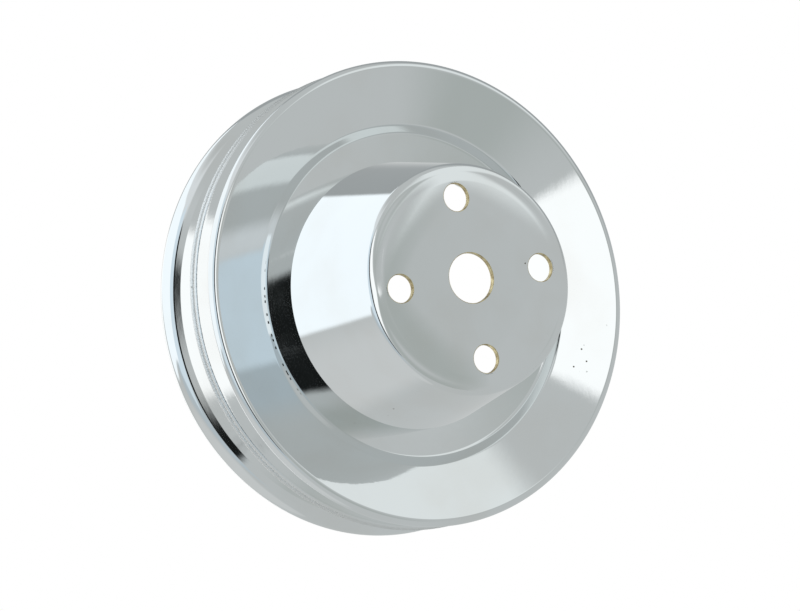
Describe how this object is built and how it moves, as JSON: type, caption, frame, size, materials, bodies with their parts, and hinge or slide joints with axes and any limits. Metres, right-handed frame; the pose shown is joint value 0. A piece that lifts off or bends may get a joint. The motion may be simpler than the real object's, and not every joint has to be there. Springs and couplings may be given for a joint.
{
  "type": "V-belt pulley",
  "caption": "Chrome-plated sheet-steel pulley with a deep hub cup and side-by-side V-belt grooves, bolted to the nose of an engine's water pump.",
  "frame": {"origin": "centre of the pilot bore on the rear face of the hub plate, where the plate seats on the pump's hub", "axes": "+Y along the pulley's axis towards the engine, +Z through one of the four bolt holes, +X to the right seen from the front"},
  "size_m": [0.158, 0.0739, 0.158],
  "materials": {
    "chrome_plate": "bright chrome plate on polished sheet steel, with fine pits",
    "weld_mark": "duller plated dent of a spot weld"
  },
  "bodies": {
    "root": {"hub_stamping": "chrome_plate", "front_groove_ring": "chrome_plate", "rim_drum": "chrome_plate", "rear_groove_ring": "chrome_plate", "web_spot_welds": "weld_mark", "rim_spot_welds": "weld_mark"}
  },
  "joints": []
}
